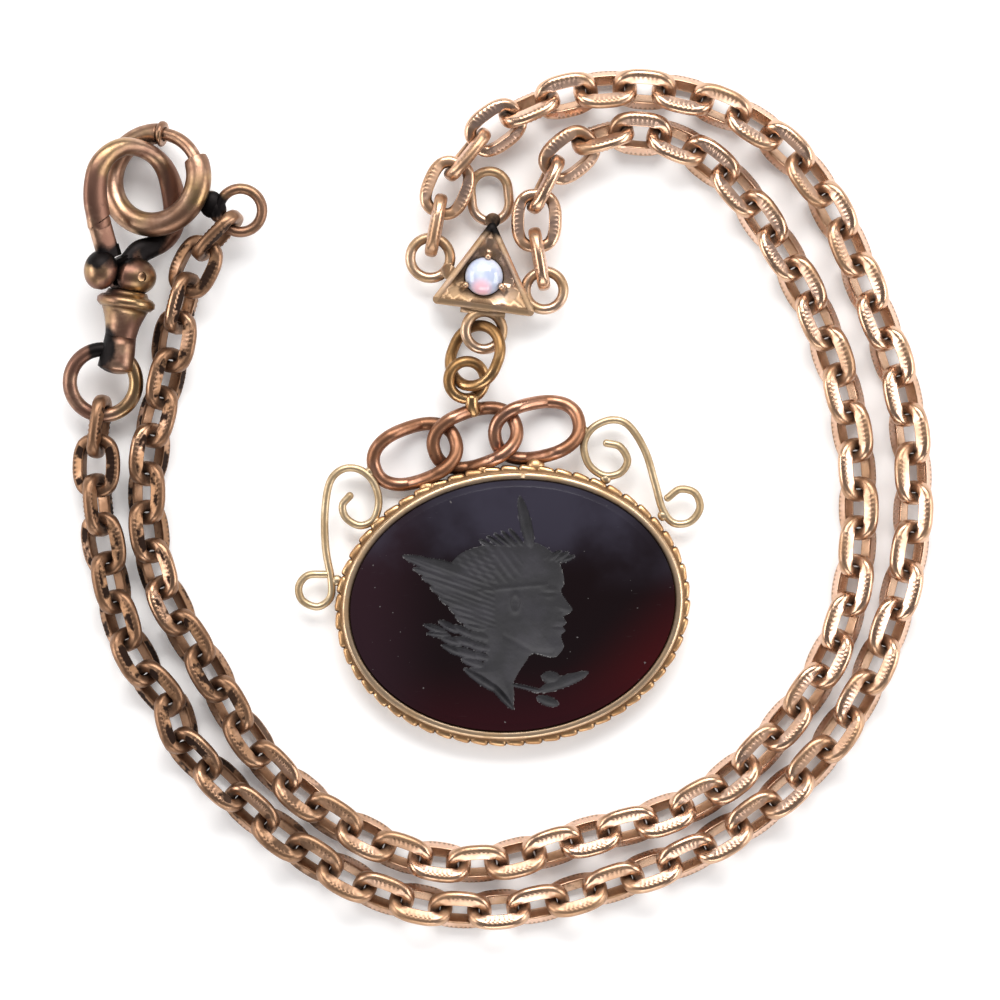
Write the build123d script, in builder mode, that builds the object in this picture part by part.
"""Oval fob seal on the triangular station of a double watch chain, lying flat on a surface.

Units are millimetres. +Z is up, away from the surface that the jewel lies on, and +Y points from the
seal towards its station. The origin is the middle of the seal's flat back.
"""

from build123d import *
from math import asin, atan2, ceil, cos, degrees, radians, sin
import os

os.makedirs("parts", exist_ok=True)

# Clearances
seat_gap = 0.05  # a stone in its setting
running_gap = 0.06  # a pin or bolt in its bore
link_gap = 0.22  # between two chain links, and a link and its loop
ring_gap = 0.07  # round the swivel ring in its stem
gate_gap = 0.10  # between the gate's lobe and the ball, over its swing
tip_gap = 0.10  # between the gate's tip and the hook's end
floor_gap = 0.06  # under the lowest pieces that don't touch the surface

joint_share = 1.04  # a soldered joint's ball against its wire
solder_height = 1.10
corner_share = 0.48  # of the shorter side beside a scroll's corner, taken by its arc

# Seal
seal_turn = 5.0  # the long axis is turned this many degrees from +X
stone_length = 26.08
stone_width = 20.08
stone_bevel = 0.60
stone_girdle_height = 1.55
stone_bevel_height = 0.45
bezel_wall = 0.55
bezel_lip = 0.15  # the bezel stands this far above the stone's girdle
back_thickness = 0.90
border_count = 50
border_radius = 0.42
border_length = 1.30
border_height = 1.55
border_sink = 0.22  # how far a border link sinks into the bezel's wall
cut_depth = 0.35  # the intaglio's deep strokes
cut_shallow_depth = 0.22  # its broad masses
feather_count = 5
feather_root = (-1.4, -0.5)
feather_turn = 150.0
feather_fan = 9.0  # degrees between feathers
feather_length = 8.2
feather_width = 0.95
head_height = 9.6  # from the chin to the crown
head_center = (0.4, -4.3)

# Three oval links soldered on top of the seal
top_wire = 1.08
top_length = 7.90
top_width = 5.40
top_lean = 16.5
top_height = 1.35
top_centers = ((-7.8, 12.12), (-3.0, 13.40), (1.96, 14.04))
top_turns = (20.0, 19.0, 12.0)

# Wire scrolls beside the three links
scroll_wire = 0.62
scroll_height = 1.45
left_scroll = (
    (-13.0, 8.8), (-13.6, 8.0), (-13.3, 7.0), (-12.2, 6.4), (-11.1, 6.9), (-10.7, 8.4), (-11.2, 10.0),
    (-12.3, 10.9), (-13.6, 10.9), (-14.6, 9.9), (-15.0, 7.6), (-14.95, 4.6), (-14.5, 2.0), (-14.6, 0.6),
    (-15.6, -0.1), (-16.8, 0.4), (-17.1, 1.5), (-16.4, 2.4), (-14.9, 2.5),
)
right_scroll = (
    (7.5, 13.0), (8.6, 12.7), (9.2, 11.6), (8.6, 10.6), (7.3, 10.4), (6.1, 11.3), (5.7, 12.9),
    (6.4, 14.2), (7.9, 14.85), (9.3, 14.4), (10.6, 12.4), (11.4, 9.8), (12.0, 7.7), (12.9, 6.6),
    (14.2, 6.7), (15.0, 7.8), (14.6, 9.0), (13.4, 9.3), (12.4, 8.6),
)

# Bail of the seal, the station's eye and the jump ring that joins them
bail_center = (-3.66, 18.04)
bail_outer_radius = 1.94
bail_wire = 0.90
bail_height = 1.72
bail_lean = 16.0
bail_foot_wire = 1.10
bail_foot_shift = 0.40
eye_center = (-2.28, 22.00)
eye_outer_radius = 1.92
eye_wire = 0.84
eye_lean = 12.0
jump_center = (-2.98, 19.98)
jump_length = 5.86
jump_width = 5.30
jump_wire = 0.90
jump_turn = 68.7
jump_lean = 33.0
jump_height = 1.80

# Station
station_apex = (-1.56, 30.92)
station_left = (-6.66, 24.22)
station_right = (1.96, 23.06)
station_base = 0.95
station_top = 2.85
station_rim = 0.46
station_floor_drop = 0.85
station_floor_rim = 0.12  # level floor round the stone
station_well_radius = 4.60  # of the sloping floor, at the top
station_corner_radius = 0.35
station_height = 1.85  # of its loops' wires over the surface
loop_wire = 0.84
left_loop_center = (-6.58, 27.80)
left_loop_outer_radius = 2.02
right_loop_center = (2.56, 25.20)
right_loop_outer_radius = 1.94
top_loop_center = (-1.80, 32.76)
top_loop_length = 4.80
top_loop_width = 3.76
top_loop_wire = 0.78
top_loop_turn = 96.0
top_loop_height = 1.02  # the first face-on link lies over it
opal_center = (-2.28, 26.30)
opal_radius = 1.52
opal_seat = 0.35
opal_wall = 0.50
opal_rise = 1.10
prong_radius = 0.27
prong_post_radius = 0.20
prong_height = 2.72
prong_lean = 0.75  # the beads lean over the stone by this share of their posts' radius
eye_bar_length = 3.60
eye_bar_width = 0.80
eye_bar_height = 1.20
# Solder of the left loop and the top loop: x, y, z and radius
station_solder = ((-5.10, 26.68, 1.85, 0.60), (-1.58, 30.80, 1.25, 0.60))
prong_turns = (78.0, 205.0, -30.0)

# Chain links: twelve-sided plates with a bevelled outer edge
link_length = 5.15
link_width = 4.00
link_end = 0.89  # breadth of the end bars
link_side = 0.97  # breadth of the side bars
link_thickness = 1.05
link_bevel = 0.20
link_seat_bevel = 0.34  # of the end bars' inner edges, where the next link hangs
settle_links = 5.0  # links over which a strand turns from upright to its lying twist
upright_links = 1  # links at each end that stay upright first
lying_twist = 45.0
ring_twist = 12.0  # the last link stands this far from upright in the clasp's ring
rise_length = 13.0  # stretch over which a strand climbs to its clasp

# Swivel, drawn in its own plane: y runs from the stem to the hook and x to the right
swivel_pivot = (-30.52, 26.36)
swivel_height = 2.65
swivel_turn = 81.0
swivel_roll = 30.0
ball_radius = 2.10
ball_length = 3.24
hook_wire = 1.36
# The hook from the ball to its tip: place in the swivel's plane, and breadth as a share of hook_wire
hook_table = (
    (0.05, 1.00, 1.70), (0.50, 1.95, 1.45), (1.40, 2.50, 1.30), (2.25, 3.02, 1.25), (2.88, 3.78, 1.28),
    (3.12, 4.75, 1.36), (3.02, 5.95, 1.42), (2.50, 7.40, 1.38), (1.70, 8.75, 1.22), (0.60, 9.65, 1.04),
    (-0.85, 10.12, 1.00), (-2.40, 10.10, 1.00), (-3.70, 9.35, 1.00), (-4.50, 8.10, 1.00),
    (-4.65, 6.70, 1.00), (-4.35, 5.40, 1.00), (-3.70, 4.20, 0.98),
)
collar_radius = 2.34
# The collar's turned profile: radius as a share of collar_radius, and place along the swivel
collar_profile = (
    (0.0, -1.25), (0.66, -1.25), (0.75, -1.62), (0.89, -1.75), (1.0, -2.00), (1.0, -2.35), (0.87, -2.65),
)
cone_top_radius = 1.90
cone_waist_radius = 1.45
cone_end_radius = 1.24
cone_end_y = -4.96
stem_radius = 1.26
stem_end_radius = 1.46
stem_end_y = -7.50
stem_dome = 0.45
stem_pin_radius = 0.62
stem_pin_length = 1.60
swivel_ring_center = (-32.72, 17.84)
swivel_ring_outer_radius = 3.24
swivel_ring_wire = 1.16
swivel_ring_drop = 0.80  # how much lower the ring lies at the chain than at the stem
gate_open = 15.0
gate_hub_radius = 1.45
gate_disc_radius = 0.86
gate_tongue = 0.90
gate_sector_start = 94.0
gate_sector_end = 222.0
gate_arm_width = 1.05
gate_arm_thickness = 0.92
gate_knuckle_length = 0.85
gate_knuckle_rise = 0.30  # how far it stands over the arm, outwards and upwards
gate_lobe_center = (-2.68, 0.05)
gate_lobe_radius = 1.35
gate_lobe_length = 3.20
gate_lobe_flats = 0.97  # its ends are cut flat at this share of its length
gate_tip_radius = 5.25  # from the rivet to the joint of the gate and the hook
gate_tip_turn = 128.0
gate_foot = (-1.75, 1.30)
sector_reach = 4.0
tongue_outline = ((0, 0), (-0.75, 1.60), (-1.95, 0.80), (-1.95, -0.65))
rivet_radius = 0.36
rivet_inset = 0.08

# Bolt ring
bolt_ring_center = (-28.56, 34.08)
bolt_ring_radius = 3.70
bolt_ring_wire = 1.96
bolt_ring_tilt = 19.5
bolt_ring_heading = -28.0
mouth_angle = 24.0
ferrule_angle = 84.0
ferrule_span = 11.0
ferrule_wire = 2.24
bolt_wire = 0.82
bolt_tip_angle = 19.0
bolt_tail_angle = 146.0
end_ring_center = (-21.72, 31.56)
end_ring_outer_radius = 2.16
end_ring_wire = 0.86
end_ring_height = 2.80
end_ring_solder_center = (-24.10, 32.10)
end_ring_solder_turn = 75.0
end_ring_solder_length = 2.50
end_ring_solder_width = 1.30

# Side to which each strand's links are twisted first
outer_side = 1
inner_side = 1

# Chosen points of the two strands' middle lines, from the station round to the clasps
outer_route = (
    (-6.1, 30.7), (-5.4, 33.2), (-4.1, 35.6), (0.8, 39.6), (7.2, 41.3), (14.4, 40.7), (20.7, 37.6), (25.4, 32.0),
    (28.5, 24.9), (31.0, 17.9), (32.0, 11.6), (31.9, 5.2), (30.4, -1.2), (28.1, -6.8), (24.6, -12.1), (19.6, -16.7),
    (14.6, -19.8), (8.7, -22.0), (2.6, -23.8), (-3.8, -24.4), (-10.1, -23.2), (-15.6, -20.4), (-20.8, -16.5),
    (-25.0, -12.5), (-26.6, -10.6), (-27.0, -8.4), (-28.5, -6.5), (-30.3, -4.0), (-32.2, 2.3), (-33.2, 8.4),
)
inner_route = (
    (2.1, 28.1), (1.75, 30.4), (2.3, 33.3), (3.95, 35.7), (6.4, 37.3), (9.2, 37.9), (12.4, 37.4), (16.4, 35.1),
    (20.4, 30.2), (23.6, 24.8), (26.0, 18.8), (27.4, 12.6), (27.7, 6.4), (26.9, 0.0), (24.5, -5.8), (20.8, -10.6),
    (16.4, -14.7), (11.0, -17.2), (5.2, -18.7), (-0.4, -20.4), (-6.4, -20.5), (-12.2, -18.3), (-17.2, -14.9),
    (-21.3, -10.4), (-24.4, -4.9), (-27.6, 0.4), (-29.2, 6.7), (-29.0, 12.7), (-27.5, 18.8), (-26.3, 24.7),
    (-25.2, 27.5),
)


def flat_plane(center, turn=0.0, height=0.0):
    """A level plane at a point, its x axis turned from +X by an angle."""
    x, y = tuple(center)[:2]
    return Plane(origin=(x, y, height), x_dir=(cos(radians(turn)), sin(radians(turn)), 0), z_dir=(0, 0, 1))


def upright_plane(center, height):
    """An upright plane through a point, x to the right and y up."""
    return Plane(origin=(center[0], center[1], height), x_dir=(1, 0, 0), z_dir=(0, -1, 0))


def leaning_plane(center, turn, height, lean):
    """A level plane tipped about its own x axis, so that its +y side stands higher."""
    along = Vector(cos(radians(turn)), sin(radians(turn)), 0)
    across = Vector(-along.Y * cos(radians(lean)), along.X * cos(radians(lean)), sin(radians(lean)))
    return Plane(origin=(center[0], center[1], height), x_dir=along, z_dir=along.cross(across))


def ring_arc(plane, radius, wire, start, end):
    """A stretch of round wire, bent about a plane's origin from one angle to another."""
    outward = plane.x_dir * cos(radians(start)) + plane.y_dir * sin(radians(start))
    along = plane.z_dir.cross(outward)
    with BuildPart() as body:
        with BuildSketch(Plane(origin=plane.origin + outward * radius, x_dir=outward, z_dir=along)):
            Circle(wire / 2)
        revolve(axis=Axis(plane.origin, plane.z_dir), revolution_arc=end - start)
    return body.part


def wire_bar(start, end, wire):
    """A straight round bar between two points, with ball ends a little thicker than the bar."""
    direction = Vector(end) - Vector(start)
    with BuildPart() as body:
        with BuildSketch(Plane(origin=start, z_dir=direction)):
            Circle(wire / 2)
        extrude(amount=direction.length)
        with Locations(start, end):
            Sphere(wire / 2 * joint_share)
    return body.part


def dome_radius(radius, rise):
    """Radius of the ball that a dome of this radius and rise is cut from."""
    return (radius**2 + rise**2) / (2 * rise)


def oval_ring(plane, length, width, wire):
    """A racetrack ring of round wire in a plane, given by its size over the outside."""
    end_radius = (width - wire) / 2
    half_straight = (length - width) / 2
    with BuildPart() as body:
        with BuildLine(plane) as path:
            right = CenterArc((half_straight, 0), end_radius, -90, 180)
            top = Line(right @ 1, (-half_straight, end_radius))
            left = CenterArc((-half_straight, 0), end_radius, 90, 180)
            Line(left @ 1, right @ 0)
        with BuildSketch(path.line ^ 0):
            Circle(wire / 2)
        sweep(path=path.line)
    return body.part


def corner_radii(points):
    """The largest arcs that the corners of a run of points have room for."""
    radii = []
    for before, corner, after in zip(points, points[1:], points[2:]):
        first = Vector(*corner) - Vector(*before)
        second = Vector(*after) - Vector(*corner)
        half_turn = radians(first.get_angle(second) / 2)
        radii.append(corner_share * min(first.length, second.length) / sin(half_turn) * cos(half_turn))
    return radii


def scroll(points):
    """A scroll of round wire through its points, at the scrolls' height."""
    with BuildPart() as body:
        with BuildLine(Plane.XY.offset(scroll_height)) as path:
            FilletPolyline(*points, radius=corner_radii(points))
        with BuildSketch(path.line ^ 0):
            Circle(scroll_wire / 2)
        sweep(path=path.line)
    return body.part


def top_link(center, turn):
    """One twisted oval link: two leaning end bows and two bars that cross between them."""
    bow_radius = (top_width - top_wire) / 2
    half_straight = (top_length - top_width) / 2
    level = flat_plane(center, turn, top_height)
    reach = bow_radius * cos(radians(top_lean))
    rise = bow_radius * sin(radians(top_lean))
    left_middle = level.from_local_coords((-half_straight, 0, 0))
    right_middle = level.from_local_coords((half_straight, 0, 0))
    left = leaning_plane((left_middle.X, left_middle.Y), turn, top_height, top_lean)
    right = leaning_plane((right_middle.X, right_middle.Y), turn, top_height, -top_lean)
    left_bow = ring_arc(left, bow_radius, top_wire, 90, 270)
    right_bow = ring_arc(right, bow_radius, top_wire, -90, 90)
    upper_bar = wire_bar(
        level.from_local_coords((-half_straight, reach, rise)),
        level.from_local_coords((half_straight, reach, -rise)),
        top_wire,
    )
    lower_bar = wire_bar(
        level.from_local_coords((-half_straight, -reach, -rise)),
        level.from_local_coords((half_straight, -reach, rise)),
        top_wire,
    )
    with BuildPart() as body:
        add(left_bow)
        add(right_bow)
        add(upper_bar)
        add(lower_bar)
    return body.part


# Seal: the stone is level, its table up, in a closed cup
seal_plane = flat_plane((0, 0), seal_turn)
stone_base = back_thickness + seat_gap
girdle_top = stone_base + stone_girdle_height
table_top = girdle_top + stone_bevel_height
bezel_top = girdle_top + bezel_lip
pocket_x = stone_length / 2 + seat_gap
pocket_y = stone_width / 2 + seat_gap
bezel_x = pocket_x + bezel_wall
bezel_y = pocket_y + bezel_wall
border_x = bezel_x + border_radius - border_sink
border_y = bezel_y + border_radius - border_sink


# Drops of solder where the links, the scrolls and the border meet: x, y and radius
solder_drops = (
    (-6.70, 9.40, 0.66), (-2.20, 10.80, 0.60), (1.85, 11.10, 0.66), (5.70, 13.95, 0.42),
    (-11.35, 10.75, 0.42), (-10.78, 6.62, 0.50), (-14.05, 2.00, 0.45), (7.45, 10.15, 0.45),
    (12.05, 7.20, 0.45),
)
with BuildLine(seal_plane.offset(border_height)) as border_line:
    EllipticalCenterArc((0, 0), border_x, border_y, start_angle=0, arc_size=360)
border_edge = border_line.line.edge()
border_places = border_edge.locations(
    [border_edge.length * index / border_count for index in range(border_count)],
    position_mode=PositionMode.LENGTH,
)
top_links = [top_link(center, turn) for center, turn in zip(top_centers, top_turns)]
scrolls = [scroll(left_scroll), scroll(right_scroll)]
bail_radius = bail_outer_radius - bail_wire / 2
bail_plane = leaning_plane(bail_center, jump_turn, bail_height, bail_lean)
bail_ring = ring_arc(bail_plane, bail_radius, bail_wire, 0, 360)
bail_foot = wire_bar(
    (bail_center[0] + bail_foot_shift, bail_center[1] - bail_radius, bail_height),
    (bail_center[0] + bail_foot_shift, top_centers[1][1] + (top_width - top_wire) / 2, top_height),
    bail_foot_wire,
)

with BuildPart() as seal_setting:
    with BuildSketch(seal_plane):
        Ellipse(bezel_x, bezel_y)
    extrude(amount=bezel_top)
    with Locations(*border_places):
        Cylinder(border_radius, border_length)
    with BuildSketch(seal_plane.offset(back_thickness)):
        Ellipse(pocket_x, pocket_y)
    extrude(amount=bezel_top, mode=Mode.SUBTRACT)
    for piece in top_links + scrolls:
        add(piece)
    add(bail_ring)
    add(bail_foot)
    for x, y, radius in solder_drops:
        with Locations((x, y, scroll_height)):
            Cylinder(radius, solder_height)
seal_setting.part.label = "seal_setting"
export_step(seal_setting.part, "parts/seal_setting.step")

# Stone: the figure is cut in two depths, seen from above with the head in profile to the right
stone_plane = flat_plane((0, 0), seal_turn, stone_base)
cut_plane = Plane.XY.offset(table_top)
# Profile of a plain head, as shares of its height: forward of the ear, and up from the chin
head_profile = (
    (0.10, 0.98), (0.30, 0.88), (0.37, 0.74), (0.385, 0.63), (0.36, 0.57), (0.455, 0.41),
    (0.385, 0.36), (0.405, 0.305), (0.375, 0.275), (0.395, 0.24), (0.36, 0.195), (0.38, 0.10),
    (0.30, 0.02), (0.13, 0.08), (0.06, -0.12), (0.16, -0.36), (-0.30, -0.40), (-0.22, -0.02),
    (-0.36, 0.30), (-0.40, 0.62), (-0.22, 0.90),
)
# Slots of the figure's deep strokes: middle x and y, length, width and turn
deep_strokes = (
    (-1.7, 4.55, 7.0, 0.75, -8.0), (-0.9, 6.30, 3.2, 0.85, 62.0), (0.2, 7.75, 2.4, 0.70, 80.0),
    (3.1, 4.30, 1.9, 0.70, 35.0), (4.0, 3.95, 1.5, 0.60, 15.0), (-3.1, -2.10, 3.6, 0.70, 25.0),
    (-4.6, -2.90, 3.4, 0.70, 20.0), (-4.2, -4.10, 3.2, 0.70, 12.0), (3.1, -6.00, 6.2, 0.45, 6.0),
    (2.8, -5.45, 1.5, 0.60, 50.0), (2.6, -6.95, 1.5, 0.60, -40.0), (4.6, -5.30, 1.3, 0.50, 45.0),
    (4.9, -6.60, 1.3, 0.50, -35.0),
)
with BuildPart() as seal_stone:
    with BuildSketch(stone_plane):
        Ellipse(stone_length / 2, stone_width / 2)
    extrude(amount=stone_girdle_height)
    with BuildSketch(stone_plane.offset(stone_girdle_height)):
        Ellipse(stone_length / 2, stone_width / 2)
    with BuildSketch(stone_plane.offset(stone_girdle_height + stone_bevel_height)):
        Ellipse(stone_length / 2 - stone_bevel, stone_width / 2 - stone_bevel)
    loft()
    with BuildSketch(cut_plane):
        with BuildLine():
            Polyline(
                *[(head_center[0] + head_height * x, head_center[1] + head_height * y) for x, y in head_profile],
                close=True,
            )
        make_face()
    extrude(amount=-cut_shallow_depth, mode=Mode.SUBTRACT)
    with BuildSketch(cut_plane):
        for x, y, length, width, turn in deep_strokes:
            with Locations(Location((x, y, 0), (0, 0, turn))):
                SlotOverall(length, width)
        for index in range(feather_count):
            turn = feather_turn + feather_fan * (index - (feather_count - 1) / 2)
            reach = feather_length / 2
            middle = (
                feather_root[0] + reach * cos(radians(turn)),
                feather_root[1] + reach * sin(radians(turn)),
                0,
            )
            with Locations(Location(middle, (0, 0, turn))):
                SlotOverall(feather_length, feather_width)
    extrude(amount=-cut_depth, mode=Mode.SUBTRACT)
seal_stone.part.label = "seal_stone"
export_step(seal_stone.part, "parts/seal_stone.step")

# Jump ring between the seal's bail and the station's eye: its left limb lies low
jump_plane = leaning_plane(jump_center, jump_turn, jump_height, -jump_lean)
jump_ring = oval_ring(jump_plane, jump_length, jump_width, jump_wire)
with BuildPart() as seal_link:
    add(jump_ring)
seal_link.part.label = "seal_link"
export_step(seal_link.part, "parts/seal_link.step")

# Station: a triangular plaque whose floor slopes down to the stone
station_corners = (station_apex, station_left, station_right)
station_floor = station_top - station_floor_drop
opal_base = station_floor - opal_seat
left_loop = ring_arc(
    flat_plane(left_loop_center, 0, station_height), left_loop_outer_radius - loop_wire / 2, loop_wire, 0, 360
)
right_loop = ring_arc(
    flat_plane(right_loop_center, 0, station_height), right_loop_outer_radius - loop_wire / 2, loop_wire, 0, 360
)
eye_plane = leaning_plane(eye_center, jump_turn, station_height, eye_lean)
eye_ring = ring_arc(eye_plane, eye_outer_radius - eye_wire / 2, eye_wire, 0, 360)
top_loop = oval_ring(
    flat_plane(top_loop_center, top_loop_turn, top_loop_height), top_loop_length, top_loop_width, top_loop_wire
)
base_middle = (Vector(*station_left) + Vector(*station_right)) / 2
base_turn = degrees(asin((station_right[1] - station_left[1]) / (base_middle - Vector(*station_left)).length / 2))
prong_reach = opal_radius + seat_gap + prong_post_radius
bead_reach = prong_reach - prong_post_radius * prong_lean

with BuildPart() as station_well:
    with BuildSketch(Plane.XY.offset(station_floor)):
        with BuildLine():
            Polyline(*station_corners, close=True)
        make_face()
        offset(amount=-station_rim, kind=Kind.INTERSECTION)
    extrude(amount=station_floor_drop)
    with Locations((opal_center[0], opal_center[1], station_floor)):
        Cone(
            opal_radius + station_floor_rim,
            station_well_radius,
            station_floor_drop,
            align=(Align.CENTER, Align.CENTER, Align.MIN),
            mode=Mode.INTERSECT,
        )
with BuildPart() as station:
    with BuildSketch(Plane.XY.offset(station_base)):
        with BuildLine():
            Polyline(*station_corners, close=True)
        make_face()
        fillet(vertices(), radius=station_corner_radius)
    extrude(amount=station_top - station_base)
    with BuildSketch(flat_plane(base_middle, base_turn, station_height - eye_bar_height / 2)):
        Rectangle(eye_bar_length, eye_bar_width)
    extrude(amount=eye_bar_height)
    add(left_loop)
    add(right_loop)
    add(eye_ring)
    add(top_loop)
    for x, y, z, radius in station_solder:
        with Locations((x, y, z)):
            Cylinder(radius, solder_height)
    add(station_well.part, mode=Mode.SUBTRACT)
    with BuildSketch(flat_plane(opal_center, 0, opal_base)):
        Circle(opal_radius + seat_gap)
    extrude(amount=station_floor_drop, mode=Mode.SUBTRACT)
    for turn in prong_turns:
        foot = (
            opal_center[0] + prong_reach * cos(radians(turn)),
            opal_center[1] + prong_reach * sin(radians(turn)),
        )
        bead = (
            opal_center[0] + bead_reach * cos(radians(turn)),
            opal_center[1] + bead_reach * sin(radians(turn)),
        )
        with BuildSketch(flat_plane(foot, 0, opal_base)):
            Circle(prong_post_radius)
        extrude(amount=prong_height - opal_base)
        with Locations((bead[0], bead[1], prong_height)):
            Sphere(prong_radius)
station.part.label = "station"
export_step(station.part, "parts/station.step")

with BuildPart() as opal:
    with BuildSketch(upright_plane(opal_center, opal_base + seat_gap)):
        with BuildLine():
            wall = Polyline((0, 0), (opal_radius, 0), (opal_radius, opal_wall))
            RadiusArc(wall @ 1, (0, opal_wall + opal_rise), -dome_radius(opal_radius, opal_rise))
            Line((0, opal_wall + opal_rise), (0, 0))
        make_face()
    revolve(axis=Axis((opal_center[0], opal_center[1], 0), (0, 0, 1)))
opal.part.label = "opal"
export_step(opal.part, "parts/opal.step")


# Chains
link_pitch = link_length - 2 * link_end - link_gap
hole_length = link_length - 2 * link_end
hole_width = link_width - 2 * link_side
# Corners of a link in one quarter, as shares of the half length and half width
link_corners = ((1.00, 0.375), (0.74, 0.80), (0.31, 1.00))


def four_quarters(corners, length, width):
    """A closed outline from the corners of its first quarter."""
    quarter = [(x * length / 2, y * width / 2) for x, y in corners]
    right = quarter + [(-x, y) for x, y in reversed(quarter)]
    return right + [(-x, -y) for x, y in right]


with BuildPart() as link:
    with BuildSketch():
        Polygon(*four_quarters(link_corners, link_length, link_width), align=None)
    extrude(amount=link_thickness / 2, both=True)
    chamfer(link.faces().filter_by(Axis.Z).edges(), length=link_bevel)
    with BuildSketch():
        Rectangle(hole_length, hole_width)
    extrude(amount=link_thickness, both=True, mode=Mode.SUBTRACT)
    seats = link.edges().filter_by(Axis.Y).filter_by_position(Axis.X, -hole_length / 2, hole_length / 2)
    chamfer(seats.filter_by(lambda edge: abs(edge.center().Z) > link_thickness / 3), length=link_seat_bevel)


def link_reach(twist):
    """How far a link stands below its middle when its flat is turned this far from upright."""
    side = abs(cos(radians(twist)))
    flat = abs(sin(radians(twist)))
    return max(link_width / 2 * side + (link_thickness / 2 - link_bevel) * flat,
               (link_width / 2 - link_bevel) * side + link_thickness / 2 * flat)


def strand_twist(index, count, side):
    """Twist of a strand at a link: upright at the station, then lying, then upright in the clasp's ring."""
    start = min(1.0, max(0.0, index - upright_links) / settle_links)
    end = min(1.0, (count - 1 - index) / settle_links)
    last_twist = ring_twist if count % 2 else 90 - ring_twist
    return side * (lying_twist * start + (last_twist - lying_twist) * (1 - end))


def strand_height(joint, count, side, end_height):
    """Height of a strand's middle at a joint, resting on its more upright links."""
    twist = strand_twist(min(max(joint - 0.5, 0), count - 1), count, side)
    rest = max(link_reach(twist), link_reach(twist + 90)) + floor_gap
    left = link_pitch * (count - joint)
    climb = max(0.0, 1 - left / rise_length) ** 2
    return rest + max(0.0, end_height - rest) * climb


def strand_locations(start, route, end, side, end_height):
    """Places of a strand's links, evenly spaced along its middle line."""
    with BuildLine() as middle:
        Spline(start, *route, end)
    edge = middle.line.edge()
    count = ceil(edge.length / link_pitch)
    joints = []
    for joint in range(count + 1):
        point = edge.position_at(edge.length * joint / count, position_mode=PositionMode.LENGTH)
        joints.append(Vector(point.X, point.Y, strand_height(joint, count, side, end_height)))
    places = []
    for index in range(count):
        along = (joints[index + 1] - joints[index]).normalized()
        across = Vector(0, 0, 1).cross(along).normalized()
        above = along.cross(across)
        turn = radians(strand_twist(index, count, side) + 90 * index)
        normal = across * cos(turn) + above * sin(turn)
        middle_point = (joints[index] + joints[index + 1]) / 2
        places.append(Plane(origin=middle_point, x_dir=along, z_dir=normal).location)
    return places


def loop_seat(center, inner_radius, toward):
    """Where a strand's first link hangs in a loop: just inside the wire, on the strand's side."""
    direction = (Vector(*toward) - Vector(*center)).normalized()
    seat = Vector(*center) + direction * (inner_radius - link_gap / 2)
    return (seat.X, seat.Y)


outer_start = loop_seat(left_loop_center, left_loop_outer_radius - loop_wire, outer_route[0])
outer_end = loop_seat(
    swivel_ring_center, swivel_ring_outer_radius - swivel_ring_wire, outer_route[-1]
)
inner_start = loop_seat(right_loop_center, right_loop_outer_radius - loop_wire, inner_route[0])
inner_end = loop_seat(end_ring_center, end_ring_outer_radius - end_ring_wire, inner_route[-1])
outer_places = strand_locations(
    outer_start, outer_route, outer_end, outer_side, swivel_height - swivel_ring_drop
)
inner_places = strand_locations(inner_start, inner_route, inner_end, inner_side, end_ring_height)

with BuildPart() as chain_outer:
    with Locations(*outer_places):
        add(link.part)
chain_outer.part.label = "chain_outer"
export_step(chain_outer.part, "parts/chain_outer.step")

with BuildPart() as chain_inner:
    with Locations(*inner_places):
        add(link.part)
chain_inner.part.label = "chain_inner"
export_step(chain_inner.part, "parts/chain_inner.step")

# Swivel
roll_side = Vector(sin(radians(swivel_turn)), -cos(radians(swivel_turn)), 0)
swivel_x = roll_side * cos(radians(swivel_roll)) - Vector(0, 0, 1) * sin(radians(swivel_roll))
swivel_y = Vector(cos(radians(swivel_turn)), sin(radians(swivel_turn)), 0)
swivel_plane = Plane(
    origin=(swivel_pivot[0], swivel_pivot[1], swivel_height), x_dir=swivel_x, z_dir=swivel_x.cross(swivel_y)
)
swivel_axis = Axis(swivel_plane.origin, swivel_plane.y_dir)
pivot_axis = Axis(swivel_plane.origin, swivel_plane.z_dir)
ring_lean = degrees(asin(swivel_ring_drop / (2 * swivel_ring_outer_radius - swivel_ring_wire)))
swivel_ring_plane = leaning_plane(
    swivel_ring_center, swivel_turn - 90, swivel_height - swivel_ring_drop / 2, ring_lean
)
swivel_ring_radius = swivel_ring_outer_radius - swivel_ring_wire / 2
whole_swivel_ring = ring_arc(swivel_ring_plane, swivel_ring_radius, swivel_ring_wire, 0, 360)
stem_bore = ring_arc(swivel_ring_plane, swivel_ring_radius, swivel_ring_wire + 2 * ring_gap, 0, 360)

with BuildPart() as swivel_ring:
    add(whole_swivel_ring)
swivel_ring.part.label = "swivel_ring"
export_step(swivel_ring.part, "parts/swivel_ring.step")

stem_top_y = cone_end_y - running_gap
pin_top_y = stem_top_y + stem_pin_length
with BuildPart() as swivel_stem:
    with BuildSketch(swivel_plane):
        with BuildLine():
            side = Polyline(
                (0, pin_top_y), (stem_pin_radius, pin_top_y), (stem_pin_radius, stem_top_y),
                (stem_radius, stem_top_y), (stem_end_radius, stem_end_y),
            )
            dome = RadiusArc(side @ 1, (0, stem_end_y - stem_dome), dome_radius(stem_end_radius, stem_dome))
            Line(dome @ 1, side @ 0)
        make_face()
    revolve(axis=swivel_axis)
    add(stem_bore, mode=Mode.SUBTRACT)
swivel_stem.part.label = "swivel_stem"
export_step(swivel_stem.part, "parts/swivel_stem.step")


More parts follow.
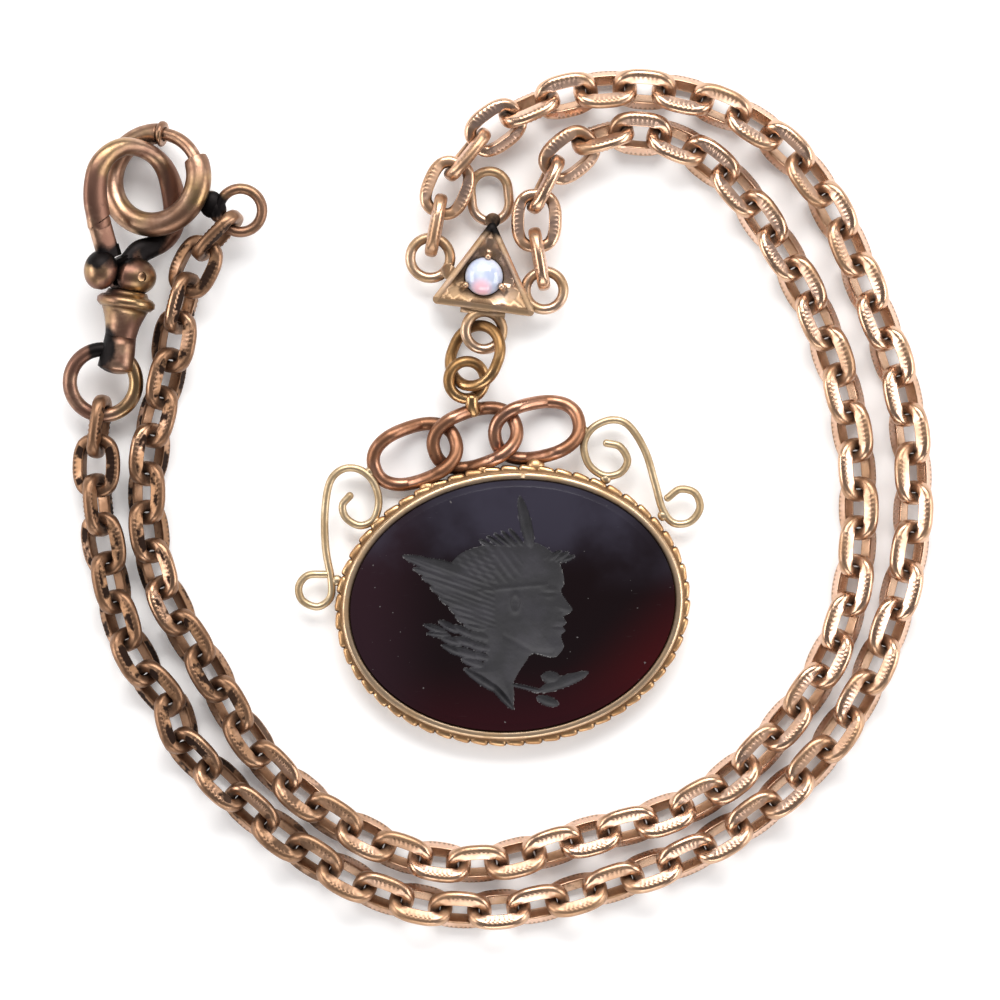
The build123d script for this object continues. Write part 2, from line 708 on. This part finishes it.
def hook_section(before, row, after):
    """An oval section across the hook at a row of its table, between the rows beside it."""
    x, y, share = row
    direction = swivel_plane.x_dir * (after[0] - before[0]) + swivel_plane.y_dir * (after[1] - before[1])
    middle = swivel_plane.from_local_coords((x, y, 0))
    with BuildSketch(Plane(origin=middle, x_dir=swivel_plane.z_dir, z_dir=direction)) as section:
        Ellipse(hook_wire / 2, share * hook_wire / 2)
    return section.sketch.face()


hook_sections = [
    hook_section(before, row, after)
    for before, row, after in zip(hook_table[:1] + hook_table, hook_table, hook_table[1:] + hook_table[-1:])
]
hub_sector = (
    (0, 0),
    (sector_reach * cos(radians(gate_sector_start)), sector_reach * sin(radians(gate_sector_start))),
    (-sector_reach, sector_reach),
    (sector_reach * cos(radians(gate_sector_end)), sector_reach * sin(radians(gate_sector_end))),
)

with BuildPart() as gate_clearance:
    with BuildSketch(swivel_plane.offset(-sector_reach)):
        Polygon(*hub_sector, align=None)
        Circle(gate_hub_radius, mode=Mode.SUBTRACT)
    extrude(amount=2 * sector_reach)
with BuildPart() as tongue_slot:
    with BuildSketch(swivel_plane.offset(-gate_tongue / 2 - running_gap)):
        Polygon(*hub_sector, align=None)
        Circle(gate_disc_radius + running_gap)
    extrude(amount=gate_tongue + 2 * running_gap)
with BuildPart() as tip_clearance:
    with BuildSketch(swivel_plane.offset(-hook_wire)):
        with Locations((gate_tip_radius * cos(radians(gate_tip_turn)), 0)):
            Rectangle(gate_tip_radius, 2 * gate_tip_radius)
        Circle(gate_tip_radius + tip_gap / 2, mode=Mode.INTERSECT)
    extrude(amount=2 * hook_wire)

with BuildPart() as swivel_body:
    loft(sections=hook_sections)
    add(tip_clearance.part, mode=Mode.SUBTRACT)
    with BuildSketch(swivel_plane):
        Ellipse(ball_radius, ball_length / 2)
        with Locations((-ball_radius, 0)):
            Rectangle(2 * ball_radius, 2 * ball_length, mode=Mode.SUBTRACT)
    revolve(axis=swivel_axis)
    add(gate_clearance.part, mode=Mode.SUBTRACT)
    add(tongue_slot.part, mode=Mode.SUBTRACT)
    with BuildSketch(swivel_plane.offset(-ball_radius)):
        Circle(rivet_radius + seat_gap)
    extrude(amount=2 * ball_radius, mode=Mode.SUBTRACT)
    with BuildSketch(swivel_plane):
        with BuildLine():
            flange = Polyline(*[(radius * collar_radius, y) for radius, y in collar_profile])
            cone = ThreePointArc(
                (cone_top_radius, collar_profile[-1][1]),
                (cone_waist_radius, (collar_profile[-1][1] + cone_end_y) / 2),
                (cone_end_radius, cone_end_y),
            )
            Line(flange @ 1, cone @ 0)
            Polyline(cone @ 1, (0, cone_end_y), flange @ 0)
        make_face()
    revolve(axis=swivel_axis)
    with BuildSketch(Plane(origin=swivel_plane.from_local_coords((0, cone_end_y, 0)), z_dir=swivel_plane.y_dir)):
        Circle(stem_pin_radius + running_gap)
    extrude(amount=stem_pin_length, mode=Mode.SUBTRACT)
swivel_body.part.label = "swivel_body"
export_step(swivel_body.part, "parts/swivel_body.step")

with BuildPart() as gate_rivet:
    with BuildSketch(swivel_plane.offset(-ball_radius + rivet_inset)):
        Circle(rivet_radius)
    extrude(amount=2 * (ball_radius - rivet_inset))
gate_rivet.part.label = "gate_rivet"
export_step(gate_rivet.part, "parts/gate_rivet.step")

gate_tip = Vector(cos(radians(gate_tip_turn)), sin(radians(gate_tip_turn))) * gate_tip_radius
gate_direction = Vector(*gate_foot) - gate_tip
arm_turn = degrees(atan2(-gate_direction.Y, -gate_direction.X))
arm_length = gate_direction.length
with BuildPart() as gate:
    with BuildSketch(swivel_plane):
        with Locations(gate_lobe_center):
            Ellipse(gate_lobe_radius, gate_lobe_length / 2)
            Rectangle(
                gate_lobe_radius, gate_lobe_length * gate_lobe_flats,
                align=(Align.MAX, Align.CENTER), mode=Mode.INTERSECT,
            )
    revolve(axis=Axis(swivel_plane.from_local_coords((*gate_lobe_center, 0)), swivel_plane.y_dir))
    with BuildSketch(swivel_plane.offset(-gate_arm_thickness / 2)):
        with Locations(Location((gate_foot[0], gate_foot[1], 0), (0, 0, arm_turn))):
            Rectangle(arm_length + gate_tip_radius / 2, gate_arm_width, align=(Align.MIN, Align.CENTER))
    extrude(amount=gate_arm_thickness)
    with BuildSketch(swivel_plane.offset(-gate_arm_thickness / 2)):
        with Locations(Location((gate_foot[0], gate_foot[1], 0), (0, 0, arm_turn))):
            with Locations((arm_length - gate_knuckle_length, -gate_arm_width / 2)):
                Rectangle(
                    2 * gate_knuckle_length, gate_arm_width + gate_knuckle_rise, align=(Align.MIN, Align.MIN)
                )
    extrude(amount=gate_arm_thickness + gate_knuckle_rise)
    with BuildSketch(swivel_plane.offset(-gate_arm_width)):
        Circle(2 * gate_tip_radius)
        Circle(gate_tip_radius - tip_gap / 2, mode=Mode.SUBTRACT)
    extrude(amount=3 * gate_arm_width, mode=Mode.SUBTRACT)
    with BuildSketch(swivel_plane.offset(-sector_reach)):
        Circle(gate_hub_radius + gate_gap)
    extrude(amount=2 * sector_reach, mode=Mode.SUBTRACT)
    with BuildSketch(swivel_plane.offset(-gate_tongue / 2)):
        Circle(gate_disc_radius)
        Polygon(*tongue_outline, align=None)
        Circle(rivet_radius + running_gap, mode=Mode.SUBTRACT)
    extrude(amount=gate_tongue)
gate.part.label = "gate"
export_step(gate.part, "parts/gate.step")

# Bolt ring
heading = radians(bolt_ring_heading)
tilt = radians(bolt_ring_tilt)
rising = Vector(cos(heading) * cos(tilt), sin(heading) * cos(tilt), sin(tilt))
level = Vector(-sin(heading), cos(heading), 0)
bolt_ring_height = bolt_ring_wire / 2 + bolt_ring_radius * sin(tilt) + floor_gap
bolt_plane = Plane(
    origin=(bolt_ring_center[0], bolt_ring_center[1], bolt_ring_height),
    x_dir=rising * cos(heading) - level * sin(heading),
    z_dir=rising.cross(level),
)
bore = bolt_wire + 2 * running_gap
tube = ring_arc(bolt_plane, bolt_ring_radius, bolt_ring_wire, ferrule_angle, 360 + mouth_angle)
ferrule = ring_arc(
    bolt_plane, bolt_ring_radius, ferrule_wire, ferrule_angle - ferrule_span / 2, ferrule_angle + ferrule_span / 2
)
bore_ring = ring_arc(bolt_plane, bolt_ring_radius, bore, 0, 360)
end_ring = ring_arc(
    flat_plane(end_ring_center, 0, end_ring_height), end_ring_outer_radius - end_ring_wire / 2, end_ring_wire, 0, 360
)
with BuildPart() as end_ring_joint:
    with BuildSketch(flat_plane(end_ring_solder_center, end_ring_solder_turn, end_ring_height - solder_height / 2)):
        SlotOverall(end_ring_solder_length, end_ring_solder_width)
    extrude(amount=solder_height + end_ring_wire / 4)
with BuildPart() as bolt_ring:
    add(tube)
    add(ferrule)
    add(end_ring)
    add(end_ring_joint.part)
    add(bore_ring, mode=Mode.SUBTRACT)
bolt_ring.part.label = "bolt_ring"
export_step(bolt_ring.part, "parts/bolt_ring.step")

whole_bolt = ring_arc(bolt_plane, bolt_ring_radius, bolt_wire, bolt_tip_angle, bolt_tail_angle)
with BuildPart() as bolt:
    add(whole_bolt)
bolt.part.label = "bolt"
export_step(bolt.part, "parts/bolt.step")
